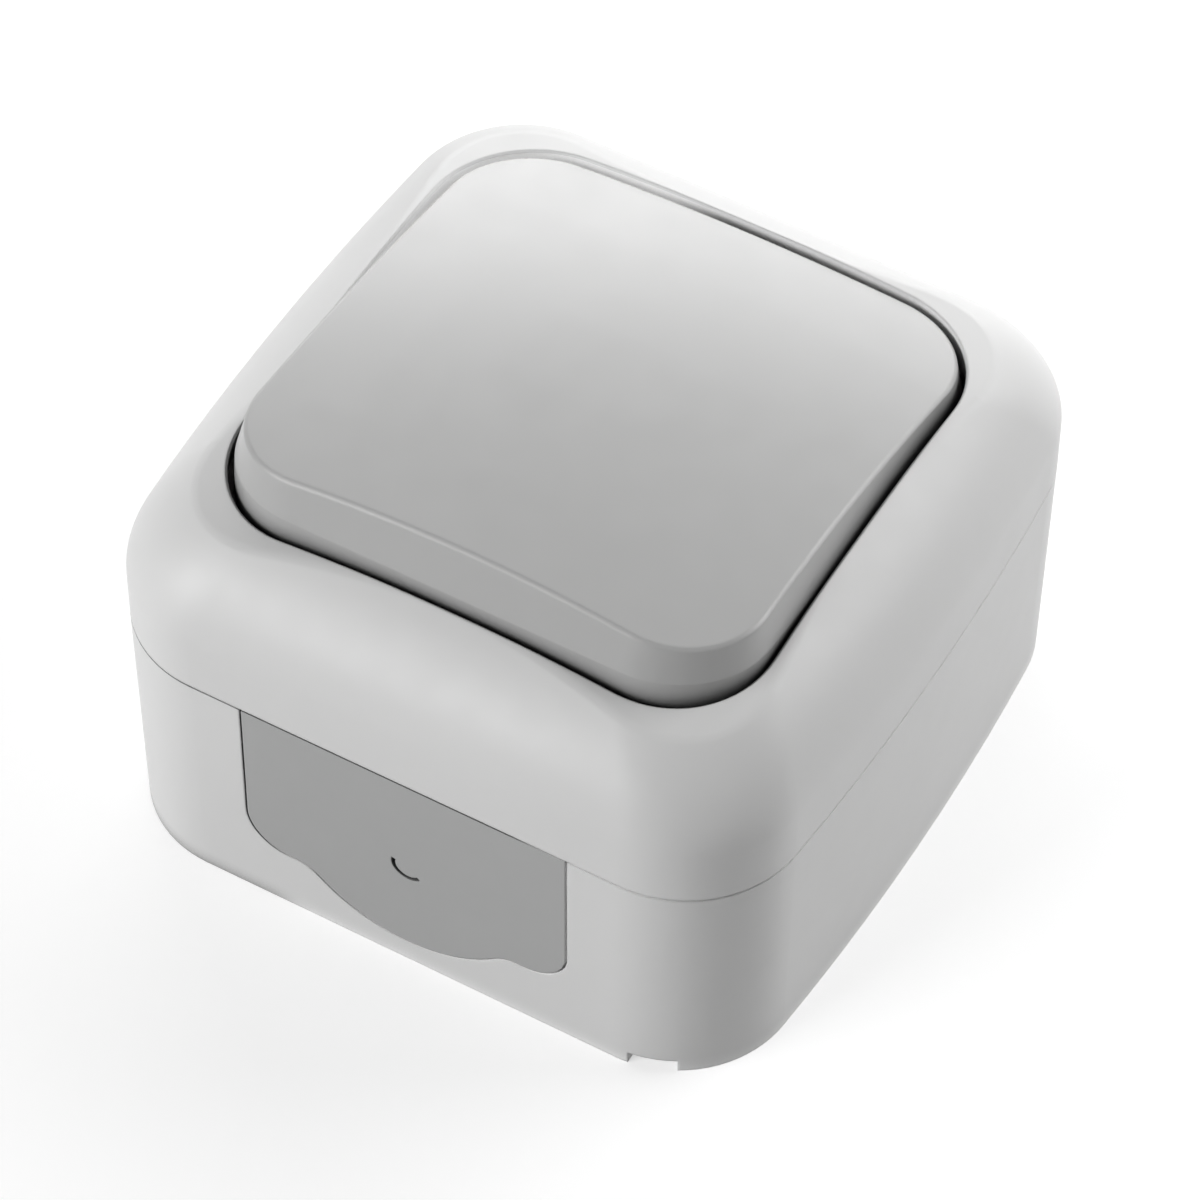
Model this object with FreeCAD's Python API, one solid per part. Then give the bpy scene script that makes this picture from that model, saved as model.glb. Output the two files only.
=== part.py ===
import FreeCAD, Part
import math
import os

# Surface-mounted weatherproof rocker switch, lying on its back as it comes out of its box.
# Millimetres. Z points away from the wall, the wall plane is Z = 0, and the middle of the
# back is the origin. The cable-entry plate is in the -Y side. The rocker stands tilted,
# with its -Y edge up.

V = FreeCAD.Vector

# How far a cut runs past the material
over = 1.0

# Enclosure outline
half_width = 36.0
half_depth = 36.0
corner_radius = 12.1
side_bow = 1.0
base_taper = 0.4
parting_height = 26.8
seam = 0.2
wall = 2.4

# Back of the box
foot_width = 2.4
foot_height = 1.5
floor_thickness = 2.5
notch_left = 24.0
notch_width = 4.5
notch_height = 1.5
knockout_radius = 9.0
knockout_score_width = 0.8
knockout_score_depth = 1.7

# Tongue and gasket between box and cover
tongue_height = 2.0
tongue_thickness = 1.0
tongue_clearance = 0.15
gasket_height = 0.9
gasket_side_gap = 0.1

# Wall-fixing holes
fixing_half_spacing = 24.0
fixing_hole_radius = 2.25
fixing_pad_radius = 5.0

# Cable-entry plate
plate_half_width = 17.3
plate_shelf_height = 7.5
plate_corner_radius = 4.4
plate_bowl_radius = 14.0
plate_bowl_bottom = 2.8
plate_blend_radius = 4.0
plate_face_thickness = 1.3
plate_side_gap = 0.2
mark_x = 0.4
plate_flange = 1.3
plate_flange_thickness = 1.0
mark_height = 14.6
mark_radius = 1.6
mark_width = 0.45
mark_depth = 0.7
mark_start = 165.0
mark_end = 315.0
rail_grip = 2.4
rail_thickness = 1.5
rail_gap = 0.12

# Cover shoulder, a tight arc that leaves the skirt and a flatter one up to the rim
skirt_height = 5.3
lower_arc_radius = 9.0
lower_arc_turn = 35.0
upper_arc_radius = 20.0
upper_arc_turn = 63.0
shoulder_corner_rate = 0.25
dome_radius = 190.0
crown_height = 13.25
dome_blend = 2.0
rim_chamfer = 0.25

# Cover opening, collar and deck
rim_drop = 1.95
rim_gap_x = 0.4
rim_gap_y = 0.07
collar_draft = 1.1
collar_thickness = 1.6
deck_depth = 10.2
deck_thickness = 2.0
deck_window_half_x = 16.8
deck_window_half_y = 11.2
window_radius = 4.0

# Rocker
hinge_rise = 3.1
rocker_tilt = 6.3
rocker_half_x = 27.4
rocker_half_y = 27.4
rocker_radius = 9.9
rocker_skirt_low = 0.8
rocker_crease = 5.0
rocker_peak = 11.8
rocker_peak_in_x = 1.3
rocker_peak_in_y = 2.2
rocker_peak_in_radius = 1.7
rocker_apex = 11.3
rocker_dome_radius = 200.0
rocker_chamfer = 0.25
rocker_wall = 1.8
rib_thickness = 1.2
rib_depth = 4.0
rib_spacing = 17.0

# Carrier that the rocker clips on
carrier_half_x = 10.7
carrier_half_y = 8.0
carrier_plate_low = 3.0
carrier_plate_thickness = 1.8
cheek_thickness = 2.2
cheek_radius = 2.6
trunnion_radius = 1.5
trunnion_length = 2.2
tube_radius = 3.2
tube_low = -6.0
bore_radius = 2.0
bore_top = 3.8
peg_x = 6.2
peg_radius = 1.6
peg_clearance = 0.1
boss_half_x = 9.0
boss_half_y = 5.0
boss_wall = 1.4

# Sealing membrane
membrane_thickness = 0.8
membrane_flange_thickness = 1.0
membrane_flange_width = 2.4
membrane_window_gap = 0.5
membrane_top_half_x = 14.4
membrane_top_half_y = 9.2

# Plunger, spring and contact blade
plunger_guide_clearance = 0.05
plunger_guide_top = -0.9
plunger_guide_low = -8.0
plunger_nose_radius = 1.2
plunger_reach = 13.7
spring_wire_radius = 0.25
spring_radius = 1.35
spring_turns = 6
blade_gap = 0.3
blade_tilt = 7.0
blade_half_length = 11.0
blade_half_width = 2.5
blade_thickness = 1.0
blade_notch_half_angle = 52.0
knife_half_angle = 30.0
knife_engagement = 0.4
knife_clearance = 0.05
contact_offset = 9.2
tip_radius = 1.5
tip_height = 0.7
fixed_tip_radius = 1.8
fixed_tip_height = 0.7
rivet_shank_radius = 0.8
rivet_clearance = 0.02
contact_gap = 0.15

# Mechanism housing and frame
strip_half_width = 2.5
strip_thickness = 0.8
strip_gap = 0.05
fixed_strip_start = 6.5
knife_thickness = 1.2
housing_half_x = 10.5
housing_half_y = 22.0
housing_height = 14.0
housing_corner = 2.0
chamber_half_x = 3.0
chamber_half_y = 13.0
pocket_half_x = 3.8
pocket_inner_y = 14.6
pocket_outer_y = 20.4
pocket_floor_thickness = 1.4
wire_hole_radius = 1.5
wire_hole_rise = 4.2
frame_drop = 5.2
frame_thickness = 2.0
frame_screw_edge = 4.0
frame_half_y = 13.4
frame_corner = 3.0
frame_slot_half_x = 2.2
frame_slot_half_y = 3.2
frame_slot_radius = 1.0
membrane_seat_wall = 1.4
ear_inner_x = 11.0
ear_thickness = 2.4
ear_half_y = 2.8
bearing_clearance = 0.05

# Terminals
clamp_half_x = 3.5
clamp_inner_y = 15.0
clamp_outer_y = 20.0
clamp_floor_gap = 0.2
clamp_height = 9.4
clamp_wall = 0.9
clamp_roof = 1.8
strip_end_y = 19.6
clamp_screw_radius = 1.6
clamp_screw_head_radius = 2.6
clamp_screw_head_height = 2.0
clamp_screw_gap = 0.3
clamp_thread_clearance = 0.03

# Screws and pillars
pillar_radius = 3.4
cover_screw_x = 23.0
frame_screw_x = 23.0
frame_screw_y = 8.4
pillar_clearance = 0.3
screw_radius = 1.5
screw_head_radius = 2.8
screw_head_height = 1.8
cover_screw_length = 14.0
frame_screw_length = 10.0
screw_hole_clearance = 0.15
pilot_clearance = 0.03
slot_width = 0.8
slot_depth = 0.8
housing_screw_x = 7.4
housing_screw_y = 7.6
housing_screw_radius = 1.0
housing_screw_head_radius = 2.0
housing_screw_head_height = 1.4
housing_screw_length = 9.0

# Sizes that follow from the ones above
box_top = parting_height - seam / 2
cover_low = parting_height + seam / 2
floor_top = foot_height + floor_thickness
tongue_inset = wall - tongue_thickness
tongue_top = box_top + tongue_height
rebate_inset = tongue_inset - tongue_clearance
rebate_top = tongue_top + gasket_height
plate_front = -half_depth
plate_step = plate_front + plate_face_thickness
pocket_back = plate_step + plate_flange_thickness + rail_gap
shoulder_start = parting_height + skirt_height
dome_top = shoulder_start + crown_height
rim_height = dome_top - rim_drop
deck_top = rim_height - deck_depth
deck_low = deck_top - deck_thickness
hinge_height = deck_top + hinge_rise
frame_low = deck_low - frame_drop
housing_low = frame_low - housing_height
pocket_floor = housing_low + pocket_floor_thickness
wire_hole_height = housing_low + wire_hole_rise
clamp_low = pocket_floor + clamp_floor_gap
clamp_high = clamp_low + clamp_height
opening_half_x = rocker_half_x + rim_gap_x
opening_half_y = rocker_half_y + rim_gap_y
opening_radius = rocker_radius + rim_gap_x
frame_top = frame_low + frame_thickness
frame_half_x = frame_screw_x + frame_screw_edge
membrane_flange_low = deck_low - membrane_flange_thickness
membrane_half_x = deck_window_half_x - membrane_window_gap
membrane_half_y = deck_window_half_y - membrane_window_gap
flange_half_x = membrane_half_x + membrane_flange_width
flange_half_y = membrane_half_y + membrane_flange_width
carrier_plate_high = carrier_plate_low + carrier_plate_thickness
nose_centre = plunger_reach - plunger_nose_radius
tilt = math.radians(rocker_tilt)
rock = math.radians(blade_tilt)
blade_rise = blade_thickness - knife_engagement
nose_aside = nose_centre * math.sin(tilt)
nose_stand = plunger_nose_radius + blade_gap + blade_rise - nose_aside * math.sin(rock)
blade_pivot = hinge_height - nose_centre * math.cos(tilt) - nose_stand / math.cos(rock)
tip_drop = (knife_engagement + tip_height) * math.cos(rock)
tip_swing = (contact_offset + tip_radius) * math.sin(rock)
fixed_tip_top = blade_pivot - tip_drop - tip_swing - contact_gap
strip_top = fixed_tip_top - fixed_tip_height
strip_low = strip_top - strip_thickness
clamp_screw_y = (clamp_inner_y + clamp_outer_y) / 2
fixed_tip_y = contact_offset * math.cos(rock)
hinge = V(0, 0, hinge_height)
above_all = hinge_height + 2 * rocker_peak


def arc(start, middle, end):
    return Part.Arc(start, middle, end).toShape()


def line(start, end):
    return Part.LineSegment(start, end).toShape()


def rounded_outline(half_x, half_y, radius, bow, z):
    """Rectangle with round corners, whose +X and -X sides bulge outwards by bow."""
    inner_x = half_x - radius - bow
    inner_y = half_y - radius
    lean = 2 * math.atan(bow / inner_y)
    turn = (lean + math.pi / 2) / 2
    side = V(inner_x + radius * math.cos(lean), inner_y + radius * math.sin(lean), z)
    middle = V(inner_x + radius * math.cos(turn), inner_y + radius * math.sin(turn), z)
    end = V(inner_x, half_y, z)

    def at(point, sign_x, sign_y):
        return V(point.x * sign_x, point.y * sign_y, z)

    def long_side(sign):
        start, stop = at(side, sign, -sign), at(side, sign, sign)
        if bow > 0:
            return arc(start, V(sign * half_x, 0, z), stop)
        return line(start, stop)

    return Part.Wire([
        long_side(1),
        arc(at(side, 1, 1), at(middle, 1, 1), at(end, 1, 1)),
        line(at(end, 1, 1), at(end, -1, 1)),
        arc(at(end, -1, 1), at(middle, -1, 1), at(side, -1, 1)),
        long_side(-1),
        arc(at(side, -1, -1), at(middle, -1, -1), at(end, -1, -1)),
        line(at(end, -1, -1), at(end, 1, -1)),
        arc(at(end, 1, -1), at(middle, 1, -1), at(side, 1, -1)),
    ])


def block(half_x, half_y, radius, low, high, x=0.0, y=0.0):
    """Upright block with round corners, centred on x, y."""
    wire = rounded_outline(half_x, half_y, radius, 0.0, low)
    wire.translate(V(x, y, 0))
    return Part.Face(wire).extrude(V(0, 0, high - low))


def bar(x0, x1, y0, y1, z0, z1):
    return Part.makeBox(x1 - x0, y1 - y0, z1 - z0, V(x0, y0, z0))


def post(radius, low, high, x=0.0, y=0.0):
    return Part.makeCylinder(radius, high - low, V(x, y, low))


def rod_x(radius, x0, x1, y, z):
    return Part.makeCylinder(radius, x1 - x0, V(x0, y, z), V(1, 0, 0))


def slice_x(points, half_length):
    """Prism along X from a closed outline of (y, z) points."""
    corners = [V(-half_length, y, z) for y, z in points]
    face = Part.Face(Part.makePolygon(corners + corners[:1]))
    return face.extrude(V(2 * half_length, 0, 0))


def to_rest(shape):
    """Turns a piece that was drawn with the rocker level to where it rests."""
    turned = shape.copy()
    turned.rotate(hinge, V(1, 0, 0), -rocker_tilt)
    return turned


def both_ends(make):
    """The same piece at +Y and at -Y."""
    return Part.makeCompound([make(1), make(-1)])


def box_outline(inset, z):
    """Outline of the box at height z, moved inwards by inset."""
    narrow = base_taper * (1 - z / parting_height)
    return rounded_outline(half_width - narrow - inset, half_depth - inset,
                           corner_radius - inset, side_bow, z)


def box_body(inset, low, high):
    return Part.makeLoft([box_outline(inset, low), box_outline(inset, high)], True, True)


def dome(radius, top):
    """Ball whose poles lie far out along X and whose seam runs underneath."""
    ball = Part.makeSphere(radius)
    ball.rotate(V(0, 0, 0), V(0, 1, 0), 90)
    ball.translate(V(0, 0, top - radius))
    return ball


def dome_edges(shape, radius):
    """Edges where the domed face meets its neighbours."""
    found = []
    for face in shape.Faces:
        if isinstance(face.Surface, Part.Sphere) and math.isclose(face.Surface.Radius, radius):
            found.extend(face.Edges)
    return found


def plate_outline(grow, y):
    """Outline of the cable-entry plate in the plane y, moved outwards by grow.

    From the top: straight sides, a round lower corner, a short shelf, then an S-curve into
    a wide bowl."""
    corner = plate_corner_radius + grow
    corner_z = plate_shelf_height + plate_corner_radius
    side_x = plate_half_width + grow
    corner_x = plate_half_width - plate_corner_radius
    bowl = plate_bowl_radius + grow
    bowl_z = plate_bowl_bottom + plate_bowl_radius
    blend = plate_blend_radius - grow
    blend_z = plate_shelf_height - plate_blend_radius
    reach = plate_bowl_radius + plate_blend_radius
    blend_x = math.sqrt(reach ** 2 - (bowl_z - blend_z) ** 2)
    join_x = blend_x * bowl / reach
    join_z = bowl_z - (bowl_z - blend_z) * bowl / reach
    lean = math.atan2(join_z - blend_z, join_x - blend_x)
    half = (lean + math.pi / 2) / 2
    diagonal = corner / math.sqrt(2)

    def at(x, z, sign):
        return V(sign * x, y, z)

    def half_edges(sign):
        return [
            line(at(side_x, above_all, sign), at(side_x, corner_z, sign)),
            arc(at(side_x, corner_z, sign),
                at(corner_x + diagonal, corner_z - diagonal, sign),
                at(corner_x, corner_z - corner, sign)),
            line(at(corner_x, corner_z - corner, sign), at(blend_x, blend_z + blend, sign)),
            arc(at(blend_x, blend_z + blend, sign),
                at(blend_x + blend * math.cos(half), blend_z + blend * math.sin(half), sign),
                at(join_x, join_z, sign)),
        ]

    edges = half_edges(1) + half_edges(-1)
    edges.append(arc(at(join_x, join_z, 1), at(0, bowl_z - bowl, 1), at(join_x, join_z, -1)))
    edges.append(line(at(side_x, above_all, -1), at(side_x, above_all, 1)))
    return Part.Wire(Part.__sortEdges__(edges))


def plate_slab(grow, y_out, y_in, low, high):
    """Plate-shaped slab between two depths and two heights."""
    slab = Part.Face(plate_outline(grow, y_out)).extrude(V(0, y_in - y_out, 0))
    return slab.common(bar(-half_width, half_width, y_out, y_in, low, high))


def plate_seat():
    """Stepped opening in the box wall that the cable-entry plate slides down into."""
    face = plate_slab(plate_side_gap, plate_front - over, plate_step, 0.0, above_all)
    flange = plate_slab(plate_flange + plate_side_gap, plate_step, pocket_back,
                        floor_top, above_all)
    return face.fuse(flange)


def make_cable_entry_plate():
    face = plate_slab(0.0, plate_front, plate_step, 0.0, box_top)
    flange = plate_slab(plate_flange, plate_step, plate_step + plate_flange_thickness,
                        floor_top + plate_side_gap, tongue_top)
    return face.fuse(flange).cut(centre_mark()).removeSplitter()


def centre_mark():
    """Curved slit that marks where the cable hole is drilled."""
    centre = V(mark_x, plate_front, mark_height)
    outer = Part.makeCylinder(mark_radius + mark_width / 2, mark_depth, centre, V(0, 1, 0))
    inner = Part.makeCylinder(mark_radius - mark_width / 2, mark_depth, centre, V(0, 1, 0))
    middle = math.radians((mark_start + mark_end) / 2)
    spread = math.radians(mark_end - mark_start) / 2
    reach = 3 * mark_radius
    corners = [centre]
    for angle in (middle - spread, middle, middle + spread):
        corners.append(centre + V(reach * math.cos(angle), 0, reach * math.sin(angle)))
    wedge = Part.Face(Part.makePolygon(corners + corners[:1])).extrude(V(0, mark_depth, 0))
    return outer.cut(inner).common(wedge)


def make_back_box():
    inside = box_body(wall, floor_top, above_all)
    shell = box_body(0.0, 0.0, box_top).fuse(box_body(tongue_inset, box_top, tongue_top))
    shell = shell.cut(inside).cut(box_body(foot_width, -over, foot_height)).cut(drain_notch())
    for x, y in fixing_spots():
        shell = shell.fuse(post(fixing_pad_radius, 0.0, foot_height, x, y))
        shell = shell.cut(post(fixing_hole_radius, -over, floor_top + over, x, y))
    shell = shell.cut(knockout_score())
    for side in (1, -1):
        shell = shell.fuse(pillar(side * cover_screw_x, 0.0, deck_low, cover_screw_length))
        shell = shell.fuse(pillar(side * frame_screw_x, side * frame_screw_y, frame_low,
                                  frame_screw_length))
        shell = shell.fuse(guide_rail(side))
    return shell.cut(plate_seat()).removeSplitter()


def fixing_spots():
    at = fixing_half_spacing
    return [(at, at), (-at, at), (-at, -at), (at, -at)]


def drain_notch():
    """Gap in the foot rim at the lower edge, for water to run out."""
    return bar(notch_left, notch_left + notch_width, -half_depth - over,
               foot_width - half_depth + over, -over, notch_height)


def knockout_score():
    """Thin ring scored in the back, so that a cable hole can be broken out."""
    top = foot_height + knockout_score_depth
    ring = post(knockout_radius + knockout_score_width, foot_height - over, top)
    return ring.cut(post(knockout_radius, foot_height - over, top))


def pillar(x, y, top, screw_length):
    """Round pillar on the floor with a blind pilot hole for its screw."""
    body = post(pillar_radius, foot_height, top, x, y)
    return body.cut(post(screw_radius + pilot_clearance, top - screw_length, top + over, x, y))


def guide_rail(side):
    """Upright angle beside the opening that holds the plate's flange against the wall."""
    inner = plate_half_width + plate_flange + 2 * plate_side_gap
    outer = inner + rail_thickness
    lip_back = pocket_back + rail_thickness
    foot = bar(inner, outer, pocket_back - rail_thickness / 2, lip_back, foot_height, box_top)
    lip = bar(inner - rail_grip, outer, pocket_back, lip_back, foot_height, box_top)
    rail = foot.fuse(lip)
    if side < 0:
        rail = rail.mirror(V(0, 0, 0), V(1, 0, 0))
    return rail


def shoulder_point(turn, offset):
    """Inset and height on the cover's shoulder, for a direction turned in from the vertical."""
    first = min(turn, math.radians(lower_arc_turn))
    lower = lower_arc_radius - offset
    inset = offset + lower * (1 - math.cos(first))
    z = shoulder_start + lower * math.sin(first)
    if turn > first:
        upper = upper_arc_radius - offset
        inset += upper * (math.cos(first) - math.cos(turn))
        z += upper * (math.sin(turn) - math.sin(first))
    return inset, z


def cover_outline(inset, z):
    radius = corner_radius - shoulder_corner_rate * inset
    bow = side_bow * max(0.0, 1 - inset / lower_arc_radius)
    return rounded_outline(half_width - inset, half_depth - inset, radius, bow, z)


def shoulder_ring(turn, offset):
    return cover_outline(*shoulder_point(math.radians(turn), offset))


def cover_form():
    """Skirt, shoulder and dome of the cover."""
    skirt = Part.makeLoft([cover_outline(0.0, cover_low), cover_outline(0.0, shoulder_start)],
                          True, True)
    middle = (lower_arc_turn + upper_arc_turn) / 2
    turns = [0.0, lower_arc_turn / 2, lower_arc_turn, middle, upper_arc_turn]
    shoulder = Part.makeLoft([shoulder_ring(turn, 0.0) for turn in turns], True, False)
    form = skirt.fuse(shoulder).common(dome(dome_radius, dome_top))
    return form.makeFillet(dome_blend, dome_edges(form, dome_radius))


def cover_hollow():
    """Inside of the cover, one wall thickness in, with facets in place of the curves."""
    rings = [cover_outline(wall, cover_low - over)]
    rings.extend(shoulder_ring(turn, wall) for turn in (0.0, lower_arc_turn, upper_arc_turn))
    form = Part.makeLoft(rings, True, True)
    return form.common(dome(dome_radius - wall, dome_top - wall))


def opening_block(grow, low):
    """Drafted block that fills the cover's opening, moved outwards by grow."""
    def ring(spread, z):
        return rounded_outline(opening_half_x + spread, opening_half_y + spread,
                               opening_radius + spread, 0.0, z)
    lower = Part.makeLoft([ring(grow + collar_draft, low), ring(grow, rim_height)], True, True)
    return lower.fuse(Part.makeLoft([ring(grow, rim_height), ring(grow, above_all)], True, True))


def make_cover():
    body = cover_form().cut(cover_hollow().cut(opening_block(collar_thickness, deck_low)))
    body = body.cut(box_body(rebate_inset, cover_low - over, rebate_top))
    body = body.cut(opening_block(0.0, deck_top))
    body = body.makeChamfer(rim_chamfer, [edge for edge in body.Edges if on_rim(edge)])
    body = body.cut(block(deck_window_half_x, deck_window_half_y, window_radius,
                          deck_low - over, deck_top + over))
    for side in (1, -1):
        body = body.cut(post(screw_radius + screw_hole_clearance, deck_low - over,
                             deck_top + over, side * cover_screw_x, 0.0))
    return body


def on_rim(edge):
    """Whether an edge runs along the top of the opening."""
    box = edge.BoundBox
    near_x = max(box.XMax, -box.XMin) < opening_half_x + rim_chamfer
    near_y = max(box.YMax, -box.YMin) < opening_half_y + rim_chamfer
    high = box.ZMin > rim_height - 2 * dome_blend
    return near_x and near_y and high and box.ZLength < dome_blend


def make_cover_gasket():
    outer = box_body(tongue_inset + gasket_side_gap, tongue_top, rebate_top)
    return outer.cut(box_body(wall - gasket_side_gap, tongue_top - over, rebate_top + over))


def rocker_ring(inset, in_x, in_y, in_radius, height):
    return rounded_outline(rocker_half_x - in_x - inset, rocker_half_y - in_y - inset,
                           rocker_radius - in_radius - inset, 0.0, hinge_height + height)


def rocker_form(inset, low):
    """Drafted sides and domed top of the rocker, moved inwards by inset."""
    rings = [
        rocker_ring(inset, 0.0, 0.0, 0.0, low),
        rocker_ring(inset, 0.0, 0.0, 0.0, rocker_crease),
        rocker_ring(inset, rocker_peak_in_x, rocker_peak_in_y, rocker_peak_in_radius,
                    rocker_peak),
    ]
    sides = Part.makeLoft(rings, True, True)
    return sides.common(dome(rocker_dome_radius - inset, hinge_height + rocker_apex - inset))


def make_rocker():
    outer = rocker_form(0.0, rocker_skirt_low)
    outer = outer.makeChamfer(rocker_chamfer, dome_edges(outer, rocker_dome_radius))
    ceiling = hinge_height + rocker_apex - rocker_wall
    body = outer.cut(rocker_form(rocker_wall, rocker_skirt_low - over))
    for part in rocker_ribs(ceiling - rib_depth) + [rocker_boss()]:
        body = body.fuse(part.common(outer))
    for side in (1, -1):
        body = body.fuse(post(peg_radius, hinge_height + carrier_plate_low,
                              ceiling + rocker_wall / 2, side * peg_x, 0.0))
    return to_rest(body.removeSplitter())


def rocker_ribs(low):
    """Crossing ribs under the rocker's top."""
    ribs = []
    for side in (1, -1):
        near = side * rib_spacing - rib_thickness / 2
        far = near + rib_thickness
        ribs.append(bar(near, far, -rocker_half_y, rocker_half_y, low, above_all))
        ribs.append(bar(-rocker_half_x, rocker_half_x, near, far, low, above_all))
    return ribs


def rocker_boss():
    """Ring under the rocker that presses the membrane onto the carrier."""
    low = hinge_height + carrier_plate_high + membrane_thickness
    ring = block(boss_half_x, boss_half_y, boss_wall, low, above_all)
    return ring.cut(block(boss_half_x - boss_wall, boss_half_y - boss_wall, boss_wall / 2,
                          low - over, above_all + over))


def make_rocker_carrier():
    body = block(carrier_half_x, carrier_half_y, window_radius / 2,
                 hinge_height + carrier_plate_low, hinge_height + carrier_plate_high)
    for side in (1, -1):
        x0, x1 = sorted((side * (carrier_half_x - cheek_thickness), side * carrier_half_x))
        body = body.fuse(rod_x(cheek_radius, x0, x1, 0.0, hinge_height))
        body = body.fuse(bar(x0, x1, -cheek_radius, cheek_radius,
                             hinge_height, hinge_height + carrier_plate_low))
        x0, x1 = sorted((side * carrier_half_x, side * (carrier_half_x + trunnion_length)))
        body = body.fuse(rod_x(trunnion_radius, x0, x1, 0.0, hinge_height))
    body = body.fuse(post(tube_radius, hinge_height + tube_low, hinge_height + carrier_plate_low))
    body = body.cut(post(bore_radius, hinge_height + tube_low - over, hinge_height + bore_top))
    body = body.cut(peg_hole(1)).cut(peg_hole(-1))
    return to_rest(body.removeSplitter())


def peg_hole(side):
    return post(peg_radius + peg_clearance, hinge_height, above_all, side * peg_x, 0.0)


def membrane_level_ring(inset, z):
    return rounded_outline(membrane_half_x - inset, membrane_half_y - inset,
                           window_radius - inset, 0.0, z)


def membrane_top_ring(inset, height):
    wire = rounded_outline(membrane_top_half_x - inset, membrane_top_half_y - inset,
                           window_radius - inset, 0.0, hinge_height + height)
    return to_rest(wire)


def make_sealing_membrane():
    """Rubber boot: a level flange under the deck, and a bell up to the tilted carrier."""
    outer = Part.makeLoft([membrane_level_ring(0.0, membrane_flange_low),
                           membrane_top_ring(0.0, carrier_plate_high + membrane_thickness)],
                          True, True)
    inner = Part.makeLoft([membrane_level_ring(membrane_thickness, membrane_flange_low),
                           membrane_top_ring(membrane_thickness, carrier_plate_high)],
                          True, True)
    flange = block(flange_half_x, flange_half_y, window_radius, membrane_flange_low, deck_low)
    body = outer.fuse(flange).cut(inner)
    return body.cut(to_rest(peg_hole(1))).cut(to_rest(peg_hole(-1))).removeSplitter()


def make_plunger():
    guide = bore_radius - plunger_guide_clearance
    body = post(guide, hinge_height + plunger_guide_low, hinge_height + plunger_guide_top)
    nose_z = hinge_height - nose_centre
    body = body.fuse(post(plunger_nose_radius, nose_z, hinge_height + plunger_guide_low))
    body = body.fuse(Part.makeSphere(plunger_nose_radius, V(0, 0, nose_z)))
    return to_rest(body.removeSplitter())


def make_plunger_spring():
    """Coil spring between the blind end of the carrier's bore and the plunger's head."""
    low = hinge_height + plunger_guide_top + spring_wire_radius
    high = hinge_height + bore_top - spring_wire_radius
    path = Part.makeHelix((high - low) / spring_turns, high - low, spring_radius)
    path.translate(V(0, 0, low))
    ring = Part.makeCircle(spring_wire_radius, V(spring_radius, 0, low), V(0, 1, 0))
    coil = Part.Wire(path).makePipeShell([Part.Wire(ring)], True, True)
    return to_rest(coil)


def to_blade_rest(shape):
    """The blade lies with its -Y arm down while the rocker's -Y edge is up."""
    turned = shape.copy()
    turned.rotate(V(0, 0, blade_pivot), V(1, 0, 0), blade_tilt)
    return turned


def rivet(radius, head_low, head_high, shank_low, shank_high, y):
    """Contact rivet whose shank passes through its strip or blade."""
    head = post(radius, head_low, head_high, 0.0, y)
    return head.fuse(post(rivet_shank_radius, shank_low, shank_high, 0.0, y)).removeSplitter()


def rivet_hole(low, high, y):
    return post(rivet_shank_radius + rivet_clearance, low - over, high + over, 0.0, y)


def make_moving_contact():
    low = blade_pivot - knife_engagement
    high = low + blade_thickness
    body = bar(-blade_half_width, blade_half_width, -blade_half_length, blade_half_length,
               low, high)
    reach = 2 * blade_thickness
    spread = reach * math.tan(math.radians(blade_notch_half_angle))
    apex = blade_pivot + knife_clearance
    notch = slice_x([(0.0, apex), (-spread, apex - reach), (spread, apex - reach)],
                    blade_half_width + over)
    body = body.cut(notch).cut(rivet_hole(low, high, contact_offset))
    return to_blade_rest(body)


def make_moving_contact_tip():
    low = blade_pivot - knife_engagement
    return to_blade_rest(rivet(tip_radius, low - tip_height, low, low,
                               low + blade_thickness, contact_offset))


def make_common_contact():
    """Brass strip whose upright ends in the knife edge that the blade rocks on."""
    half = knife_thickness / 2
    strip = bar(-strip_half_width, strip_half_width, -strip_end_y, half, strip_low, strip_top)
    shoulder = blade_pivot - half / math.tan(math.radians(knife_half_angle))
    knife = slice_x([(-half, strip_low), (half, strip_low), (half, shoulder),
                     (0.0, blade_pivot), (-half, shoulder)], strip_half_width)
    return strip.fuse(knife).removeSplitter()


def make_fixed_contact():
    strip = bar(-strip_half_width, strip_half_width, fixed_strip_start, strip_end_y,
                strip_low, strip_top)
    return strip.cut(rivet_hole(strip_low, strip_top, fixed_tip_y))


def make_fixed_contact_tip():
    return rivet(fixed_tip_radius, strip_top, fixed_tip_top, strip_low, strip_top, fixed_tip_y)


def make_mechanism_housing():
    """Moulded body: contact chamber in the middle, a terminal pocket at each end."""
    body = block(housing_half_x, housing_half_y, housing_corner, housing_low, frame_low)
    body = body.cut(bar(-chamber_half_x, chamber_half_x, -chamber_half_y, chamber_half_y,
                        strip_low, frame_low + over))
    slot = strip_half_width + strip_gap
    body = body.cut(bar(-slot, slot, -pocket_inner_y, pocket_inner_y, strip_low,
                        frame_low + over))
    for end in (1, -1):
        y0, y1 = sorted((end * pocket_inner_y, end * pocket_outer_y))
        body = body.cut(bar(-pocket_half_x, pocket_half_x, y0, y1, pocket_floor,
                            frame_low + over))
        body = body.cut(Part.makeCylinder(wire_hole_radius, housing_half_y + over,
                                          V(0, end * clamp_screw_y, wire_hole_height),
                                          V(0, end, 0)))
        body = body.cut(post(housing_screw_radius + pilot_clearance,
                             frame_low - housing_screw_length, frame_low + over,
                             end * housing_screw_x, end * housing_screw_y))
    return body.removeSplitter()


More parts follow.
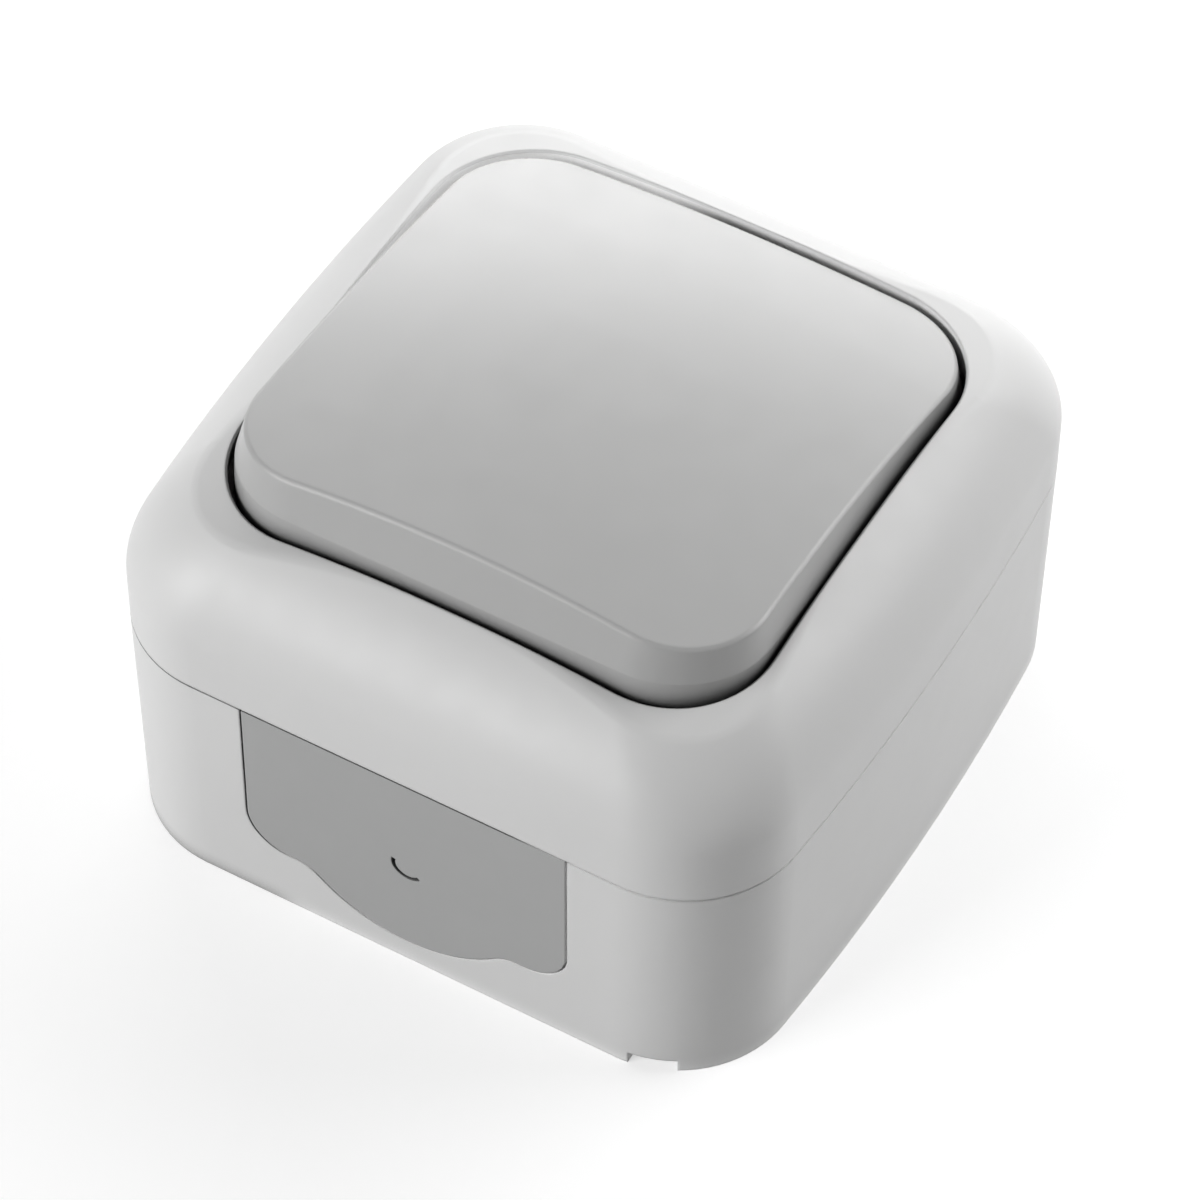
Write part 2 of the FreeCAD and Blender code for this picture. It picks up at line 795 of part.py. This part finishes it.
def make_mechanism_frame():
    """Plate that closes the housing, with the membrane's seat and the two bearing ears."""
    body = block(frame_half_x, frame_half_y, frame_corner, frame_low, frame_top)
    seat = block(flange_half_x, flange_half_y, window_radius, frame_low, membrane_flange_low)
    seat = seat.cut(block(flange_half_x - membrane_seat_wall, flange_half_y - membrane_seat_wall,
                          window_radius - membrane_seat_wall, frame_top,
                          membrane_flange_low + over))
    body = body.fuse(seat)
    for side in (1, -1):
        x0, x1 = sorted((side * ear_inner_x, side * (ear_inner_x + ear_thickness)))
        body = body.fuse(bar(x0, x1, -ear_half_y, ear_half_y, frame_low, hinge_height))
        body = body.fuse(rod_x(ear_half_y, x0, x1, 0.0, hinge_height))
    body = body.cut(rod_x(trunnion_radius + bearing_clearance, -frame_half_x, frame_half_x,
                          0.0, hinge_height))
    body = body.cut(block(frame_slot_half_x, frame_slot_half_y, frame_slot_radius,
                          frame_low - over, frame_top + over))
    for side in (1, -1):
        body = body.cut(frame_hole(pillar_radius + pillar_clearance, side * cover_screw_x, 0.0))
        body = body.cut(frame_hole(screw_radius + screw_hole_clearance,
                                   side * frame_screw_x, side * frame_screw_y))
        body = body.cut(frame_hole(housing_screw_radius + screw_hole_clearance,
                                   side * housing_screw_x, side * housing_screw_y))
    return body.removeSplitter()


def frame_hole(radius, x, y):
    return post(radius, frame_low - over, frame_top + over, x, y)


def clamp(end):
    """Clamp cage: wire and strip pass through its window, its screw presses them together."""
    y0, y1 = sorted((end * clamp_inner_y, end * clamp_outer_y))
    cage = bar(-clamp_half_x, clamp_half_x, y0, y1, clamp_low, clamp_high)
    inner = clamp_half_x - clamp_wall
    cage = cage.cut(bar(-inner, inner, y0 - over, y1 + over, clamp_low + clamp_wall,
                        clamp_high - clamp_roof))
    return cage.cut(post(clamp_screw_radius + clamp_thread_clearance,
                         clamp_high - clamp_roof - over, clamp_high + over,
                         0.0, end * clamp_screw_y))


def screw(x, y, seat, length, radius, head_radius, head_height):
    """Upright cheese-head screw with a straight slot, whose head stands on seat."""
    top = seat + head_height
    body = post(radius, seat - length, seat, x, y).fuse(post(head_radius, seat, top, x, y))
    slot = bar(x - head_radius, x + head_radius, y - slot_width / 2, y + slot_width / 2,
               top - slot_depth, top + over)
    return body.removeSplitter().cut(slot)


def cover_screw(side):
    return screw(side * cover_screw_x, 0.0, deck_top, cover_screw_length, screw_radius,
                 screw_head_radius, screw_head_height)


def frame_screw(side):
    return screw(side * frame_screw_x, side * frame_screw_y, frame_top, frame_screw_length,
                 screw_radius, screw_head_radius, screw_head_height)


def housing_screw(side):
    return screw(side * housing_screw_x, side * housing_screw_y, frame_top,
                 housing_screw_length, housing_screw_radius, housing_screw_head_radius,
                 housing_screw_head_height)


def terminal_screw(end):
    seat = clamp_high + clamp_screw_gap
    return screw(0.0, end * clamp_screw_y, seat, seat - strip_top, clamp_screw_radius,
                 clamp_screw_head_radius, clamp_screw_head_height)


def save(name, shape):
    shape.exportStep("parts/" + name + ".step")


os.makedirs("parts", exist_ok=True)
save("back_box", make_back_box())
save("cable_entry_plate", make_cable_entry_plate())
save("cover", make_cover())
save("cover_gasket", make_cover_gasket())
save("cover_screws", both_ends(cover_screw))
save("rocker", make_rocker())
save("rocker_carrier", make_rocker_carrier())
save("sealing_membrane", make_sealing_membrane())
save("mechanism_frame", make_mechanism_frame())
save("frame_screws", both_ends(frame_screw))
save("mechanism_housing", make_mechanism_housing())
save("housing_screws", both_ends(housing_screw))
save("plunger", make_plunger())
save("plunger_spring", make_plunger_spring())
save("moving_contact", make_moving_contact())
save("moving_contact_tip", make_moving_contact_tip())
save("common_contact", make_common_contact())
save("fixed_contact", make_fixed_contact())
save("fixed_contact_tip", make_fixed_contact_tip())
save("terminal_clamps", both_ends(clamp))
save("terminal_screws", both_ends(terminal_screw))
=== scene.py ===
import bpy
import math
from mathutils import Matrix, Vector

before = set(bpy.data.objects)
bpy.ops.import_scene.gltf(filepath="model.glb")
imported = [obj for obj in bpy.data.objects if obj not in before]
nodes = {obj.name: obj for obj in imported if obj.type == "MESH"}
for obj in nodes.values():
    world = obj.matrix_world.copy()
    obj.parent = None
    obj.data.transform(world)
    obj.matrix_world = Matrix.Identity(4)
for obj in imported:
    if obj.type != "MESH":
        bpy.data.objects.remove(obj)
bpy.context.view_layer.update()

scene = bpy.context.scene

WHITE = (1, 1, 1, 1)

# Sockets of a colour Mix node. Their names repeat, so they are taken by number.
MIX_FACTOR, MIX_FIRST, MIX_SECOND, MIX_RESULT = 0, 6, 7, 2

# Most values of a noise lie between these two.
NOISE_LOW, NOISE_HIGH = 0.3, 0.7

# Shares of open sky up to which a gap gets its full painted shade and its full painted glow.
FULL_PAINTED_SHADE, FULL_PAINTED_GLOW = 0.1, 0.35

# Ways through a piece along which the paint in its gaps changes from painted shade to painted
# light, or along which a painted glow fades: direction, start and end in metres.
ACROSS_GAP = ((0.55, -0.85, 0.0), -0.012, 0.0)
ACROSS_LEFT_GAP = ((0.8, -0.6, 0.0), -0.024, -0.017)
ACROSS_PLATE = ((1.0, 0.0, 0.0), -0.016, -0.010)
RIGHT_OF_MARK = ((1.0, 0.0, 0.0), 0.011, 0.015)

LIGHT_GREY = (0.64, 0.64, 0.638)
ROCKER_GREY = (0.372, 0.372, 0.37)
PLATE_GREY = (0.365, 0.367, 0.366)
CREAM = (0.74, 0.73, 0.68)
OFF_WHITE = (0.80, 0.79, 0.75)
BLACK_RUBBER = (0.022, 0.022, 0.024)
ZINC = (0.62, 0.63, 0.64)
STEEL = (0.50, 0.50, 0.52)
BRASS = (0.72, 0.52, 0.24)
SILVER = (0.83, 0.82, 0.79)


class Graph:
    """A material's node tree, with short calls for its parts."""

    def __init__(self, name):
        self.material = bpy.data.materials.new(name)
        self.material.use_nodes = True
        self.tree = self.material.node_tree
        self.shader = self.tree.nodes["Principled BSDF"]
        self.coords = self.tree.nodes.new("ShaderNodeTexCoord").outputs["Object"]

    def add(self, kind, **values):
        node = self.tree.nodes.new(kind)
        for key, value in values.items():
            setattr(node, key, value)
        return node

    def link(self, source, target):
        self.tree.links.new(source, target)

    def feed(self, name, source):
        """Links a value to one of the shader's inputs."""
        self.link(source, self.shader.inputs[name])

    def set(self, name, value):
        self.shader.inputs[name].default_value = value

    def mapped(self, scale):
        """Object coordinates, stretched by a scale along each axis."""
        node = self.add("ShaderNodeMapping")
        node.inputs["Scale"].default_value = scale
        self.link(self.coords, node.inputs["Vector"])
        return node.outputs["Vector"]

    def noise(self, scale, detail=4.0, rough=0.5, vector=None):
        """Noise with a scale in cells per metre."""
        node = self.add("ShaderNodeTexNoise")
        node.inputs["Scale"].default_value = scale
        node.inputs["Detail"].default_value = detail
        node.inputs["Roughness"].default_value = rough
        self.link(vector or self.coords, node.inputs["Vector"])
        return node.outputs["Fac"]

    def spread(self, value, low, high):
        """Maps a noise's middle range to low..high."""
        node = self.add("ShaderNodeMapRange")
        node.inputs["From Min"].default_value = NOISE_LOW
        node.inputs["From Max"].default_value = NOISE_HIGH
        node.inputs["To Min"].default_value = low
        node.inputs["To Max"].default_value = high
        self.link(value, node.inputs["Value"])
        return node.outputs["Result"]

    def colours(self, value, dark, light):
        """Mixes two colours by a value."""
        node = self.add("ShaderNodeMix", data_type="RGBA")
        self.link(value, node.inputs[MIX_FACTOR])
        node.inputs[MIX_FIRST].default_value = (*dark, 1)
        node.inputs[MIX_SECOND].default_value = (*light, 1)
        return node.outputs[MIX_RESULT]

    def darkened(self, colour, amount):
        """Multiplies a colour by a value."""
        node = self.add("ShaderNodeMix", data_type="RGBA", blend_type="MULTIPLY")
        node.inputs[MIX_FACTOR].default_value = 1.0
        self.link(colour, node.inputs[MIX_FIRST])
        self.link(amount, node.inputs[MIX_SECOND])
        return node.outputs[MIX_RESULT]

    def times(self, value, factor):
        """Multiplies a value by a factor and keeps the result within 0..1."""
        node = self.add("ShaderNodeMath", operation="MULTIPLY", use_clamp=True)
        node.inputs[1].default_value = factor
        self.link(value, node.inputs[0])
        return node.outputs[0]

    def soft_edges(self, radius):
        """Normals that look as if the edges were rounded by the radius."""
        node = self.add("ShaderNodeBevel", samples=6)
        node.inputs["Radius"].default_value = radius
        return node.outputs["Normal"]

    def bump(self, height, strength, distance, normal):
        node = self.add("ShaderNodeBump")
        node.inputs["Strength"].default_value = strength
        node.inputs["Distance"].default_value = distance
        self.link(height, node.inputs["Height"])
        self.link(normal, node.inputs["Normal"])
        return node.outputs["Normal"]

    def graded(self, direction, start, end, first, last):
        """A value that passes from first to last along a direction through the piece."""
        along = self.add("ShaderNodeVectorMath", operation="DOT_PRODUCT")
        self.link(self.coords, along.inputs[0])
        along.inputs[1].default_value = direction
        ramp = self.add("ShaderNodeMapRange", interpolation_type="SMOOTHSTEP")
        ramp.inputs["From Min"].default_value = start
        ramp.inputs["From Max"].default_value = end
        ramp.inputs["To Min"].default_value = first
        ramp.inputs["To Max"].default_value = last
        self.link(along.outputs["Value"], ramp.inputs["Value"])
        return ramp.outputs["Result"]

    def open_share(self, reach):
        """Share of open sky over a point, 1 on a free face and near 0 deep in a gap."""
        node = self.add("ShaderNodeAmbientOcclusion", samples=3)
        node.inputs["Distance"].default_value = reach
        return node.outputs["AO"]

    def crevice(self, share, least, clear, deepest, free):
        """The value of deepest up to the least share of open sky, and free from clear on."""
        ramp = self.add("ShaderNodeMapRange", interpolation_type="SMOOTHSTEP")
        ramp.inputs["From Min"].default_value = least
        ramp.inputs["From Max"].default_value = clear
        ramp.inputs["To Max"].default_value = free
        self.link(deepest, ramp.inputs["To Min"])
        self.link(share, ramp.inputs["Value"])
        return ramp.outputs["Result"]


def scaled(colour, factor):
    return tuple(channel * factor for channel in colour)


def moulded(name, colour, rough, grain=0.25, sheen=0.5, edge=0.00025, gloss=0.0,
            reach=0.002, clear=0.15, lie=ACROSS_PLATE, depths=(0.3, 0.3), glow=0.0):
    """Moulded plastic: cloudy colour, fine spark-eroded grain, rounded edges.

    Its joints get painted shade: depths are the values by which colour and reflection are
    multiplied deep in a gap at the two ends of lie, and where they exceed 1 they paint light
    there instead.
    Glow is a painted glow: an emission from the plastic deep in the gap at the left back, where
    there is no lamp."""
    g = Graph(name)
    cloud = g.noise(scale=45.0, detail=3.0)
    tone = g.colours(g.spread(cloud, 0.0, 1.0), scaled(colour, 0.985), scaled(colour, 1.012))
    share = g.open_share(reach)
    # Painted shade and painted light: the colour darkens where little open sky is over a point,
    # or lightens there where depths exceed 1, graded along lie.
    shade = g.crevice(share, FULL_PAINTED_SHADE, clear, g.graded(*lie, *depths), free=1.0)
    g.feed("Base Color", g.darkened(tone, shade))
    # Painted glow: the gap at the left back gives off light in the plastic's own tone, with no
    # lamp there.
    if glow:
        strength = g.graded(*ACROSS_LEFT_GAP, first=glow, last=0.0)
        g.feed("Emission Strength", g.crevice(share, FULL_PAINTED_GLOW, clear, strength, free=0.0))
        g.feed("Emission Color", tone)
    # The reflection carries the same painted shade and painted light.
    g.feed("Specular IOR Level", g.times(shade, sheen))
    g.feed("Coat Weight", g.times(shade, gloss))
    patches = g.noise(scale=260.0, detail=5.0)
    g.feed("Roughness", g.spread(patches, rough - 0.03, rough + 0.04))
    normal = g.soft_edges(edge)
    waves = g.noise(scale=90.0, detail=1.0)
    normal = g.bump(waves, strength=0.05, distance=0.0001, normal=normal)
    pores = g.noise(scale=5200.0, detail=1.0, rough=0.6)
    normal = g.bump(pores, strength=grain, distance=0.000012, normal=normal)
    g.feed("Normal", normal)
    g.set("Coat Roughness", 0.35)
    return g.material


def rubber(name, colour):
    """Matte rubber with a speckled, slightly rough face."""
    g = Graph(name)
    speck = g.noise(scale=900.0, detail=5.0, rough=0.7)
    g.feed("Base Color",
           g.colours(g.spread(speck, 0.0, 1.0), scaled(colour, 0.7), scaled(colour, 1.5)))
    g.feed("Roughness", g.spread(g.noise(scale=300.0), 0.62, 0.8))
    pores = g.noise(scale=2500.0, detail=3.0)
    g.feed("Normal",
           g.bump(pores, strength=0.35, distance=0.00003, normal=g.soft_edges(0.0003)))
    return g.material


def metal(name, colour, rough, stretch=(400.0, 400.0, 40.0), wear=0.12):
    """Drawn or turned metal with fine lines and a little tarnish."""
    g = Graph(name)
    lines = g.noise(scale=1.0, detail=6.0, rough=0.65, vector=g.mapped(stretch))
    stain = g.noise(scale=160.0, detail=4.0)
    g.feed("Base Color", g.colours(g.spread(stain, 0.0, 1.0), scaled(colour, 1 - wear), colour))
    g.feed("Roughness", g.spread(lines, rough - 0.06, rough + 0.12))
    g.feed("Normal",
           g.bump(lines, strength=0.3, distance=0.00001, normal=g.soft_edges(0.00015)))
    g.set("Metallic", 1.0)
    return g.material


# Depths below 1 paint shade into a piece's gaps, and depths above 1 paint light. The box is
# shaded at its left end and lit right of it. The cover and rocker are near black at the front and
# right and lit at the back and left. The plate is shaded left of and in its mark and lit right of
# it. The inner pieces get an even painted shade of 0.3. The cover's glow is a painted glow.
housing = moulded("box_grey_plastic", LIGHT_GREY, rough=0.46, gloss=0.05, edge=0.0004,
                  reach=0.002, clear=0.9, depths=(0.2, 1.5))
cover_shell = moulded("cover_grey_plastic", LIGHT_GREY, rough=0.46, gloss=0.05, edge=0.0004,
                      reach=0.003, clear=0.75, lie=ACROSS_GAP, depths=(1.15, 0.02), glow=0.38)
rocker_face = moulded("rocker_grey_plastic", ROCKER_GREY, rough=0.34, grain=0.08,
                      edge=0.00045, gloss=0.4, sheen=0.58,
                      reach=0.004, clear=0.6, lie=ACROSS_GAP, depths=(1.6, 0.01))
plate = moulded("plate_grey_plastic", PLATE_GREY, rough=0.55, grain=0.4,
                reach=0.003, clear=0.9, lie=RIGHT_OF_MARK, depths=(0.05, 1.8))
mechanism = moulded("mechanism_plastic", CREAM, rough=0.5, grain=0.4)
carrier = moulded("carrier_plastic", OFF_WHITE, rough=0.42)
seal = rubber("seal_rubber", BLACK_RUBBER)
steel = metal("zinc_plated_steel", ZINC, rough=0.3)
spring = metal("spring_steel", STEEL, rough=0.25, stretch=(900.0, 900.0, 900.0))
brass = metal("contact_brass", BRASS, rough=0.28, stretch=(500.0, 30.0, 500.0), wear=0.25)
silver = metal("contact_silver", SILVER, rough=0.18, stretch=(300.0, 300.0, 300.0), wear=0.2)

looks = {
    "back_box": housing,
    "cover": cover_shell,
    "rocker": rocker_face,
    "cable_entry_plate": plate,
    "cover_gasket": seal,
    "sealing_membrane": seal,
    "cover_screws": steel,
    "frame_screws": steel,
    "housing_screws": steel,
    "terminal_screws": steel,
    "terminal_clamps": steel,
    "plunger_spring": spring,
    "rocker_carrier": carrier,
    "plunger": carrier,
    "mechanism_frame": mechanism,
    "mechanism_housing": mechanism,
    "moving_contact": brass,
    "common_contact": brass,
    "fixed_contact": brass,
    "moving_contact_tip": silver,
    "fixed_contact_tip": silver,
}
for name, node in nodes.items():
    for slot in node.material_slots:
        slot.material = looks[name]


def seen_directly(tree):
    """1 for what the camera sees, also in gloss and through glass, and 0 for light on things."""
    path = tree.nodes.new("ShaderNodeLightPath")
    total = path.outputs["Is Camera Ray"]
    for name in ("Is Glossy Ray", "Is Transmission Ray"):
        larger = tree.nodes.new("ShaderNodeMath")
        larger.operation = "MAXIMUM"
        tree.links.new(total, larger.inputs[0])
        tree.links.new(path.outputs[name], larger.inputs[1])
        total = larger.outputs[0]
    return total


def make_floor(reach, colour, lift):
    """Pale plane under the object. The lift whitens it to the eye and leaves the shadow."""
    mesh = bpy.data.meshes.new("floor")
    corners = [(-reach, -reach, 0), (reach, -reach, 0), (reach, reach, 0), (-reach, reach, 0)]
    mesh.from_pydata(corners, [], [(0, 1, 2, 3)])
    floor = bpy.data.objects.new("floor", mesh)
    scene.collection.objects.link(floor)
    material = bpy.data.materials.new("pale_floor")
    material.use_nodes = True
    tree = material.node_tree
    shader = tree.nodes["Principled BSDF"]
    shader.inputs["Base Color"].default_value = (*colour, 1)
    shader.inputs["Roughness"].default_value = 0.9
    shader.inputs["Specular IOR Level"].default_value = 0.1
    shader.inputs["Emission Color"].default_value = WHITE
    amount = tree.nodes.new("ShaderNodeMath")
    amount.operation = "MULTIPLY"
    amount.inputs[1].default_value = lift
    tree.links.new(seen_directly(tree), amount.inputs[0])
    tree.links.new(amount.outputs[0], shader.inputs["Emission Strength"])
    mesh.materials.append(material)


def make_world(strength):
    """White where it is seen, and softer where it lights the object."""
    world = bpy.data.worlds.new("studio")
    scene.world = world
    world.use_nodes = True
    tree = world.node_tree
    tree.nodes.clear()
    mix = tree.nodes.new("ShaderNodeMixShader")
    tree.links.new(seen_directly(tree), mix.inputs[0])
    for socket, level in ((1, strength), (2, 1.0)):
        sky = tree.nodes.new("ShaderNodeBackground")
        sky.inputs["Color"].default_value = WHITE
        sky.inputs["Strength"].default_value = level
        tree.links.new(sky.outputs[0], mix.inputs[socket])
    out = tree.nodes.new("ShaderNodeOutputWorld")
    tree.links.new(mix.outputs[0], out.inputs["Surface"])


make_floor(reach=3.0, colour=(0.55, 0.55, 0.55), lift=0.55)
make_world(strength=0.1)

# The point in the object that the lamps face.
LAMP_TARGET = Vector((0, 0, 0.03))


def panel(name, heading, elevation, distance, width, height, power):
    """Soft box at a heading (0 is +Y, 90 is +X) and elevation, turned towards the object."""
    light = bpy.data.lights.new(name, "AREA")
    light.shape = "RECTANGLE"
    light.size, light.size_y = width, height
    light.energy = power
    lamp = bpy.data.objects.new(name, light)
    scene.collection.objects.link(lamp)
    turn, rise = math.radians(heading), math.radians(elevation)
    level = math.cos(rise)
    away = Vector((math.sin(turn) * level, math.cos(turn) * level, math.sin(rise)))
    lamp.location = LAMP_TARGET + away * distance
    lamp.rotation_mode = "QUATERNION"
    lamp.rotation_quaternion = (-away).to_track_quat("-Z", "Y")


panel("left_front", heading=215, elevation=25, distance=0.9, width=0.58, height=0.38, power=6.5)
panel("right_back", heading=43, elevation=31, distance=0.5, width=0.36, height=0.26, power=1.75)
panel("back", heading=336, elevation=18, distance=0.6, width=0.7, height=0.28, power=2.9)
panel("top", heading=336, elevation=75, distance=0.8, width=0.5, height=0.5, power=0.2)

# The camera stands where the photo's lines put it: angles in degrees, place in metres.
CAMERA_TURN, CAMERA_RISE, CAMERA_ROLL = 29.754, 50.611, 0.359
CAMERA_PLACE = Vector((0.175899, -0.307398, 0.446898))

camera_data = bpy.data.cameras.new("camera")
camera_data.sensor_width = 36.0
camera_data.lens = 174.2
camera_data.clip_start = 0.05
camera_data.clip_end = 10.0
camera = bpy.data.objects.new("camera", camera_data)
scene.collection.objects.link(camera)
turn, rise, roll = map(math.radians, (CAMERA_TURN, CAMERA_RISE, CAMERA_ROLL))
back = Vector((math.sin(turn) * math.cos(rise), -math.cos(turn) * math.cos(rise), math.sin(rise)))
level_right = Vector((math.cos(turn), math.sin(turn), 0))
level_up = back.cross(level_right)
right = level_right * math.cos(roll) + level_up * math.sin(roll)
up = level_up * math.cos(roll) - level_right * math.sin(roll)
placed = Matrix((right, up, back)).transposed().to_4x4()
placed.translation = CAMERA_PLACE
camera.matrix_world = placed
scene.camera = camera

scene.view_settings.view_transform = "Standard"
